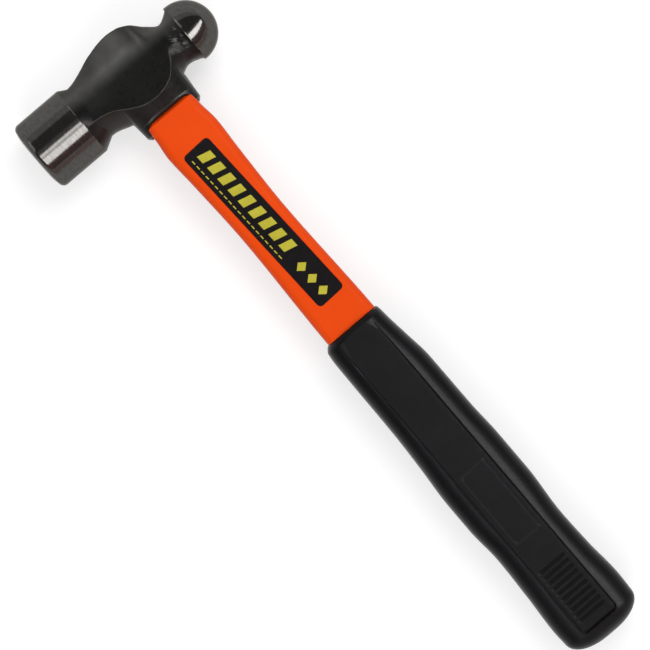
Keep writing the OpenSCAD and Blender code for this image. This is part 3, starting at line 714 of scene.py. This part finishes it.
class Shader:
    """A small helper for node materials."""

    def __init__(self, name):
        self.mat = bpy.data.materials.new(name)
        self.mat.use_nodes = True
        self.tree = self.mat.node_tree
        self.bsdf = self.tree.nodes["Principled BSDF"]
        self.coord = self.node("ShaderNodeTexCoord").outputs["Object"]

    def node(self, kind, **props):
        node = self.tree.nodes.new(kind)
        for key, value in props.items():
            setattr(node, key, value)
        return node

    def link(self, source, target):
        self.tree.links.new(source, target)

    def stretched(self, scale, turn=0.0):
        """Object coordinates, turned about Z by degrees, times a scale per axis."""
        turned = self.node("ShaderNodeMapping")
        turned.inputs["Rotation"].default_value = (0, 0, math.radians(turn))
        self.link(self.coord, turned.inputs["Vector"])
        node = self.node("ShaderNodeMapping")
        node.inputs["Scale"].default_value = scale
        self.link(turned.outputs["Vector"], node.inputs["Vector"])
        return node.outputs["Vector"]

    def noise(self, scale, detail=3.0, rough=0.55, vector=None, distortion=0.0):
        node = self.node("ShaderNodeTexNoise")
        node.inputs["Scale"].default_value = scale
        node.inputs["Detail"].default_value = detail
        node.inputs["Roughness"].default_value = rough
        node.inputs["Distortion"].default_value = distortion
        self.link(self.coord if vector is None else vector, node.inputs["Vector"])
        return node.outputs["Fac"]

    def ramp(self, source, low, high, ends=(0.3, 0.7)):
        """A value or colour from low to high while a source runs between its ends."""
        node = self.node("ShaderNodeValToRGB")
        for element, place, value in zip(node.color_ramp.elements, ends, (low, high)):
            element.position = place
            element.color = (*value, 1) if isinstance(value, tuple) else (value, value, value, 1)
        self.link(source, node.inputs["Fac"])
        return node.outputs["Color"]

    def vary(self, low, high, scale, detail=4.0, ends=(0.3, 0.7)):
        """A value or colour that wanders from low to high in the clouds of a noise."""
        return self.ramp(self.noise(scale, detail), low, high, ends)

    def feed(self, socket, value):
        """Links an output to a socket, or sets the socket to a number or a colour."""
        if isinstance(value, tuple):
            socket.default_value = (*value, 1)
        elif isinstance(value, (int, float)):
            socket.default_value = value
        else:
            self.link(value, socket)

    def math(self, operation, a, b=0.0):
        node = self.node("ShaderNodeMath", operation=operation)
        self.feed(node.inputs[0], a)
        self.feed(node.inputs[1], b)
        return node.outputs["Value"]

    def times(self, a, b):
        return self.math("MULTIPLY", a, b)

    def inverse(self, source):
        """1 where a mask is 0, and 0 where it is 1."""
        return self.math("SUBTRACT", 1.0, source)

    def mix(self, factor, a, b, blend="MIX"):
        """Colour a where the factor is 0 and b where it is 1. The node's sockets for colours are
        its inputs 0, 6 and 7 and its output 2."""
        node = self.node("ShaderNodeMix", data_type="RGBA", blend_type=blend)
        for place, value in ((0, factor), (6, a), (7, b)):
            self.feed(node.inputs[place], value)
        return node.outputs[2]

    def place(self, name):
        """Millimetres from the crossing along an axis."""
        node = self.node("ShaderNodeSeparateXYZ")
        self.link(self.coord, node.inputs["Vector"])
        metres = self.math("SUBTRACT", node.outputs[name], float(CROSSING["XYZ".index(name)]))
        return self.math("DIVIDE", metres, MM)

    def facing(self, name):
        """How far the surface faces along an axis, from -1 to 1."""
        node = self.node("ShaderNodeSeparateXYZ")
        self.link(self.node("ShaderNodeNewGeometry").outputs["Normal"], node.inputs["Vector"])
        return node.outputs[name]

    def step_up(self, source, low, high):
        """0 below low to 1 above high, smoothly."""
        node = self.node("ShaderNodeMapRange", interpolation_type="SMOOTHSTEP")
        node.inputs["From Min"].default_value = low
        node.inputs["From Max"].default_value = high
        self.link(source, node.inputs["Value"])
        return node.outputs["Result"]

    def past(self, source, place, blur):
        """0 before a place to 1 after it."""
        return self.step_up(source, place - blur, place + blur)

    def between(self, source, low, high, blur):
        """1 from low to high, and 0 outside."""
        return self.math("SUBTRACT", self.past(source, low, blur), self.past(source, high, blur))

    def bump(self, height, strength, depth, normal=None):
        """A normal bent by a height, on top of another one. depth is in millimetres."""
        node = self.node("ShaderNodeBump")
        node.inputs["Strength"].default_value = strength
        node.inputs["Distance"].default_value = depth * MM
        self.link(height, node.inputs["Height"])
        if normal is not None:
            self.link(normal, node.inputs["Normal"])
        return node.outputs["Normal"]

    def put(self, **sockets):
        """Feeds the surface's sockets, whose names have _ for each space, and returns the material."""
        for name, value in sockets.items():
            self.feed(self.bsdf.inputs[name.replace("_", " ")], value)
        return self.mat


# Colours are linear. A pair is the low and the high end of a noise, or as its comment says.
WHITE = (1.0, 1.0, 1.0)
BRIGHT_STEEL, GROUND_STEEL = (0.086, 0.083, 0.079), (0.120, 0.115, 0.108)
SATIN_STEEL = (0.054, 0.053, 0.050), (0.079, 0.078, 0.074)       # high on the crown, and lower
DULL_STEEL_AND_PAINTED_REFLECTION = (0.0044, 0.0042, 0.0042), (0.0190, 0.0152, 0.0136)  # on the sides, and a painted warm reflection where facing the butt
STEEL_GLINT = (1.0, 0.98, 0.94), (0.60, 0.59, 0.57)              # off the blackened skin, off metal
ORANGE = (0.812, 0.064, 0.0008), (0.852, 0.070, 0.0014)
RUBBER = (0.0031, 0.0031, 0.0036), (0.0042, 0.0042, 0.0048)
# painted shade for the panels' grooves, and a painted highlight for the raised frame
RUBBER_PAINTED_SHADE, RUBBER_PAINTED_HIGHLIGHT = (0.0022, 0.0022, 0.0025), (0.0062, 0.0062, 0.0069)
EPOXY = (0.010, 0.009, 0.008), (0.020, 0.017, 0.014)
STRANDS = (0.55, 0.50, 0.36), (0.72, 0.68, 0.52)
FILM_BLACK = (0.0085, 0.0065, 0.0075), (0.0125, 0.0095, 0.0110)
PRINT_YELLOW = (0.480, 0.430, 0.030), (0.560, 0.500, 0.040)
FLOOR_GREY = (0.47, 0.47, 0.47), (0.49, 0.49, 0.49)

# Masks on the steel: each a place, or a range, and the half width of its fade, in millimetres
POLISH_GAP, POLISH_FADE = 0.22, 0.1      # between the body and the polished poll and ball
CROWN_FOOT, CROWN_FADE = -6.5, 4.6       # where the satin crown goes over into the dull cheeks
WORKED_FOOT, WORKED_FADE = -11.0, 2.5    # where the crown gets lighter
RIM_WORN, RIM_HALF_L = 0.8, 13.0         # width and half length of the worn edge of the rim
RIM_FADE, RIM_END_FADE = 0.15, 1.0
NECK_FROM, NECK_TO, NECK_FADE = BALL_EDGE - 6.8, BALL_EDGE - 1.2, 0.8
NECK_SIDES, NECK_SIDE_FADE = (-5.0, 7.0), 1.0


def steel():
    """Blackened steel: turned bright on the poll and the ball, dull on the cheeks and the boss,
    with a painted warm reflection where they face the butt, satin on the crown, and worn bright
    along the rim and in the ball's neck."""
    s = Shader("blackened_steel")
    x, y = s.place("X"), s.place("Y")

    on_poll = s.inverse(s.past(y, POLL_BACK - POLISH_GAP, POLISH_FADE))
    on_ball = s.past(y, BALL_EDGE + POLISH_GAP, POLISH_FADE)
    polished = s.math("ADD", on_poll, on_ball)
    crown = s.inverse(s.past(x, CROWN_FOOT, CROWN_FADE))
    rim = s.times(s.between(x, RIM_DROP, RIM_DROP + RIM_WORN, RIM_FADE),
                  s.between(y, -RIM_HALF_L, RIM_HALF_L, RIM_END_FADE))
    ground = s.times(s.between(y, NECK_FROM, NECK_TO, NECK_FADE),
                     s.between(x, *NECK_SIDES, NECK_SIDE_FADE))
    scratches = s.noise(1.0, 4, 0.6, s.stretched((1700, 190, 900), 32), 0.6)
    cuts = s.times(s.step_up(scratches, 0.42, 0.66), s.step_up(s.noise(330, 2), 0.36, 0.60))
    neck = s.times(ground, cuts)
    bare = s.math("MAXIMUM", s.math("MAXIMUM", crown, s.times(rim, 0.4)), neck)
    metal = s.math("MAXIMUM", polished, bare)

    streaks = s.noise(1.0, 4, 0.65, s.stretched((350, 1900, 350)))
    bright = s.mix(1.0, BRIGHT_STEEL, s.ramp(streaks, 0.72, 1.12, (0.32, 0.68)), "MULTIPLY")
    blotch = s.vary(0.86, 1.1, 140)
    worked = s.mix(s.past(x, WORKED_FOOT, WORKED_FADE), *SATIN_STEEL)
    satin = s.mix(neck, s.mix(1.0, worked, blotch, "MULTIPLY"), GROUND_STEEL)
    # painted reflection: the dull skin turns lighter and warmer where it faces the butt
    skin_and_painted_reflection = s.mix(s.step_up(s.facing("X"), 0.35, 0.75), *DULL_STEEL_AND_PAINTED_REFLECTION)
    dull = s.mix(1.0, skin_and_painted_reflection, blotch, "MULTIPLY")
    tint = s.mix(metal, dull, s.mix(polished, satin, bright))

    worn = s.vary(0.32, 0.42, 420, 5, (0.3, 0.75))
    matt = s.vary(0.26, 0.34, 420, 5, (0.3, 0.75))
    turned = s.vary(0.10, 0.15, 300, 4, (0.3, 0.75))
    rough = s.mix(polished, s.mix(bare, matt, worn), turned)

    rings = s.noise(1.0, 4, 0.6, s.stretched((120, 5200, 120)))
    grain = s.math("ADD", s.noise(2600, 3, 0.6), s.times(s.noise(520, 4, 0.6), 2.0))
    uneven = s.mix(polished, s.mix(neck, grain, scratches), (0.5, 0.5, 0.5))
    normal = s.bump(uneven, 0.25, 0.04, s.bump(rings, 0.25, 0.02))
    normal = s.bump(s.times(ground, scratches), 0.6, 0.2, normal)
    return s.put(Base_Color=tint, Metallic=metal, Roughness=rough, Specular_IOR_Level=0.15,
                 Specular_Tint=s.mix(metal, *STEEL_GLINT), Normal=normal)


def jacket_plastic():
    """Orange moulded plastic with a faint orange peel."""
    s = Shader("orange_plastic")
    peel = s.math("ADD", s.noise(900, 2, 0.5), s.times(s.noise(4200, 2, 0.5), 0.4))
    return s.put(Base_Color=s.vary(*ORANGE, 35, 3), Roughness=s.vary(0.36, 0.44, 600, 3),
                 Normal=s.bump(peel, 0.18, 0.03), Specular_IOR_Level=0.18)


def rubber():
    """Black moulded rubber with a fine spark texture, with painted shade in the grooves of the panels
    and a painted highlight on the raised frame."""
    s = Shader("black_rubber")
    height = s.math("ABSOLUTE", s.place("Z"))
    across = s.math("ABSOLUTE", s.math("SUBTRACT", s.place("Y"), PANEL_SHIFT))
    floor = GRIP_T / 2 - PANEL_DEPTH
    # painted shade: the grooves and ribs below the panel's floor are tinted darker
    low = s.inverse(s.step_up(height, floor - 0.4, floor - 0.05))
    inside = s.inverse(s.step_up(across, PANEL_W / 2 - 0.1, PANEL_W / 2 + 0.3))
    frame_x = GRIP_X + GRIP_LEN - FRAME_END
    margin, fade = 0.3, 0.2          # of the raised frame's painted highlight mask
    reach = FRAME_LEN / 2 + margin
    # painted highlight: the raised frame is tinted lighter
    raised = s.times(s.between(s.place("X"), frame_x - reach, frame_x + reach, fade),
                     s.inverse(s.past(across, FRAME_W / 2 + margin, fade)))
    raised = s.times(raised, s.step_up(height, floor + 0.03, floor + 0.07))
    tint = s.mix(s.times(low, inside), s.vary(*RUBBER, 60), RUBBER_PAINTED_SHADE)
    tint = s.mix(raised, tint, RUBBER_PAINTED_HIGHLIGHT)
    spark = s.math("ADD", s.noise(3200, 3, 0.65), s.times(s.noise(500, 3, 0.5), 0.5))
    return s.put(Base_Color=tint, Roughness=s.vary(0.32, 0.38, 700, 3),
                 Normal=s.bump(spark, 0.30, 0.05), Specular_IOR_Level=0.12)


def epoxy():
    """Dark cast resin with an uneven, fairly glossy skin."""
    s = Shader("dark_epoxy")
    return s.put(Base_Color=s.vary(*EPOXY, 180), Roughness=s.vary(0.2, 0.35, 300, 3),
                 Normal=s.bump(s.noise(700, 3), 0.4, 0.1))


def fibreglass():
    """Pale glass fibre, with strands along the rod."""
    s = Shader("fibreglass_rod")
    strands = s.noise(1.0, 3, 0.6, s.stretched((60, 2400, 2400)))
    return s.put(Base_Color=s.ramp(strands, *STRANDS), Roughness=0.5,
                 Normal=s.bump(strands, 0.3, 0.05))


def film(name, low, high):
    """Printed film: a colour that varies a little, with a fine grain."""
    s = Shader(name)
    return s.put(Base_Color=s.vary(low, high, 240), Roughness=s.vary(0.32, 0.42, 900, 2),
                 Normal=s.bump(s.noise(2500, 2), 0.12, 0.03))


def paint(obj, material):
    obj.data.materials.clear()
    obj.data.materials.append(material)


# ---- Stage: floor, lights and camera, in metres ----

VIEW_MIDDLE = (0.1372, -0.0086)          # where the camera's axis meets the tool, from the crossing
VIEW_WIDTH = 0.2851                      # width of the view there
VIEW_HEIGHT = 1.30                       # height of the camera above it
VIEW_ROLL = 49.6                         # degrees that the view is turned about the vertical
SENSOR = 36                              # millimetres
FLOOR_HALF, FLOOR_GAP = 6.0, 0.00005     # half the floor's size, and how far it lies below the tool
FLOOR_GLOW, WORLD_GLOW = 0.6, 0.42       # the floor's own light as seen, and the world's as a lamp


def build_camera():
    """The camera, straight above the tool."""
    cam = bpy.data.cameras.new("camera")
    cam.sensor_width = SENSOR
    cam.lens = SENSOR * VIEW_HEIGHT / VIEW_WIDTH
    cam.clip_end = 50
    obj = bpy.data.objects.new("camera", cam)
    obj.location = Vector(CROSSING) + Vector((*VIEW_MIDDLE, VIEW_HEIGHT))
    obj.rotation_euler = (0, 0, math.radians(VIEW_ROLL))
    bpy.context.scene.collection.objects.link(obj)
    bpy.context.scene.camera = obj


def seen_rays(tree):
    """1 for the rays that look at a thing, and 0 for those that gather its light."""
    rays = tree.nodes.new("ShaderNodeLightPath")
    seen = rays.outputs["Is Camera Ray"]
    for kind in ("Is Glossy Ray", "Is Transmission Ray"):
        either = tree.nodes.new("ShaderNodeMath")
        either.operation = "MAXIMUM"
        tree.links.new(seen, either.inputs[0])
        tree.links.new(rays.outputs[kind], either.inputs[1])
        seen = either.outputs[0]
    return seen


def build_floor():
    """A pale floor, tilted the little that lets the poll and the grip both lie on it."""
    drop = (head_hi[2] - head_lo[2] - GRIP_T * MM) / 2
    run = grip_hi[0] - HEEL_ROUND * MM - CROSSING[0]
    ends = (-FLOOR_HALF, FLOOR_HALF)
    floor = make_object("floor", [(x, y, 0) for x in ends for y in ends], [(0, 2, 3, 1)])
    floor.location = (CROSSING[0], 0, -FLOOR_GAP)
    floor.rotation_euler = (0, -math.atan2(drop, run), 0)
    s = Shader("pale_floor")
    glow = s.times(seen_rays(s.tree), FLOOR_GLOW)
    paint(floor, s.put(Base_Color=s.vary(*FLOOR_GREY, 3, 2), Roughness=0.9, Specular_IOR_Level=0.1,
                       Emission_Color=WHITE, Emission_Strength=glow))


def lamp(name, place, aim, size, power, glossy=False, receivers=(), tint=WHITE):
    """A soft area lamp. glossy lamps show in reflections, and receivers limits what one lights."""
    data = bpy.data.lights.new(name, "AREA")
    data.shape = "RECTANGLE"
    data.size, data.size_y = size
    data.energy = power
    data.color = tint
    obj = bpy.data.objects.new(name, data)
    obj.location = place
    obj.rotation_euler = (Vector(aim) - Vector(place)).to_track_quat("-Z", "Y").to_euler()
    obj.visible_camera = False
    obj.visible_glossy = glossy
    bpy.context.scene.collection.objects.link(obj)
    if receivers:
        group = bpy.data.collections.new(name + "_lights")
        for r in receivers:
            group.objects.link(r)
        obj.light_linking.receiver_collection = group
    return obj


def light_card(name, angles, height, ends, level, receivers, tint=WHITE, turn=0.0):
    """A glowing card over the crossing that only its receivers show. angles are its edges along X,
    in degrees from straight up, ends its ends on Y from the crossing, level its brightness, and
    turn its turn about the vertical in degrees."""
    x0, x1 = (height * math.tan(math.radians(q)) for q in angles)
    y0, y1 = ends
    top = head_hi[2] + height
    middle = (CROSSING[0] + (x0 + x1) / 2, CROSSING[1] + (y0 + y1) / 2)
    size = (x1 - x0, y1 - y0)
    card = lamp(name, (*middle, top), (*middle, 0), size, level * math.pi * size[0] * size[1],
                glossy=True, receivers=receivers, tint=tint)
    card.visible_diffuse = False
    card.rotation_euler = (0, 0, math.radians(turn))


def flag(name, x_range, y_range, height, level, tint=WHITE):
    """A card with an even glow that only reflections see. Its range along X is from the crossing."""
    corners = [(CROSSING[0] + x, y, 0) for x in x_range for y in y_range]
    card = make_object(name, corners, [(0, 1, 3, 2)])
    card.location = (0, 0, height)
    card.visible_camera = card.visible_diffuse = card.visible_shadow = False
    card.visible_transmission = False
    s = Shader(name)
    paint(card, s.put(Base_Color=(0, 0, 0), Specular_IOR_Level=0, Emission_Color=tint,
                      Emission_Strength=level))


def build_world():
    """A white background, which lights the tool less than it shows."""
    world = bpy.data.worlds.new("studio")
    bpy.context.scene.world = world
    world.use_nodes = True
    tree = world.node_tree
    background = tree.nodes["Background"]
    background.inputs["Color"].default_value = (*WHITE, 1)
    level = tree.nodes.new("ShaderNodeMapRange")
    level.inputs["To Min"].default_value = WORLD_GLOW
    level.inputs["To Max"].default_value = 1.0
    tree.links.new(seen_rays(tree), level.inputs["Value"])
    tree.links.new(level.outputs["Result"], background.inputs["Strength"])


CARD_H = 0.37                            # height of most cards above the head
STRIP = (-0.35, 0.0)                     # ends of the cards that the poll shows
HEAD_CARDS = (                           # name, angles, height, ends, level, tint and turn
    ("head_haze", (-45, 61), 0.50, (-2.0, 3.4), 0.14, WHITE, 0),
    ("poll_strip_left", (4.5, 12), CARD_H, STRIP, 6.6, WHITE, 0),
    ("poll_strip_middle", (12, 19), CARD_H, STRIP, 3.4, WHITE, 0),
    ("poll_strip_right", (19, 39.5), CARD_H, STRIP, 7.6, WHITE, 0),
    ("poll_fringe", (-9, 4.5), CARD_H, STRIP, 0.25, WHITE, 0),
    ("ball_strip", (9.5, 31.0), CARD_H, (0.02, 1.30), 10.0, WHITE, 4.6),
    ("red_card", (41, 60), CARD_H, (-0.9, 2.0), 0.25, (1.0, 0.35, 0.35), 0),
    ("crown_card", (-62, -20), 0.08, (-0.028, 0.030), 1.5, WHITE, 0),
    ("shoulder_card", (-55, -20), CARD_H, (-0.90, -0.15), 1.05, WHITE, 0))
GRIP_STRIPS = (                          # name, place along Y, width and power
    ("grip_strip", 0.24, 0.17, 3.4),
    ("grip_strip_low", -0.21, 0.12, 0.9))
STRIP_X, STRIP_H, STRIP_LEN = 0.10, 0.50, 0.60


def build_lights(head, grip):
    """Cards that the steel and the grip show in their reflections, and two plain soft lamps."""
    flag("dark_ceiling", (-0.50, 0.98), (-2.6, 3.5), 0.55, 0.04)
    flag("grey_side", (-1.15, -0.50), (-2.6, 3.5), 0.55, 0.68)
    flag("warm_side", (0.45, 1.40), (-1.6, 2.5), 0.24, 1.0, (0.80, 0.60, 0.54))
    for name, angles, height, ends, level, tint, turn in HEAD_CARDS:
        light_card(name, angles, height, ends, level, [head], tint, turn)
    for name, y, width, power in GRIP_STRIPS:
        lamp(name, (STRIP_X, y, STRIP_H), (STRIP_X, y, 0), (STRIP_LEN, width), power,
             glossy=True, receivers=[grip])
    lamp("key", (-0.5, 0.6, 1.2), (0, 0, 0), (0.9, 0.9), 10)
    lamp("fill", (0.7, -0.5, 1.1), (0, 0, 0), (0.9, 0.9), 6.5)


# ---- Build ----

build_camera()
build_floor()
build_world()

head = build_head()
resin = build_resin()
jacket = build_jacket()
grip = build_grip()
label = build_label()
prints = build_print()

paint(head, steel())
paint(resin, epoxy())
paint(jacket, jacket_plastic())
paint(grip, rubber())
paint(label, film("black_film", *FILM_BLACK))
yellow = film("yellow_print", *PRINT_YELLOW)
for piece in prints:
    paint(piece, yellow)
paint(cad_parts["fibreglass_core"], fibreglass())

build_lights(head, grip)
bpy.context.scene.view_settings.view_transform = "Standard"
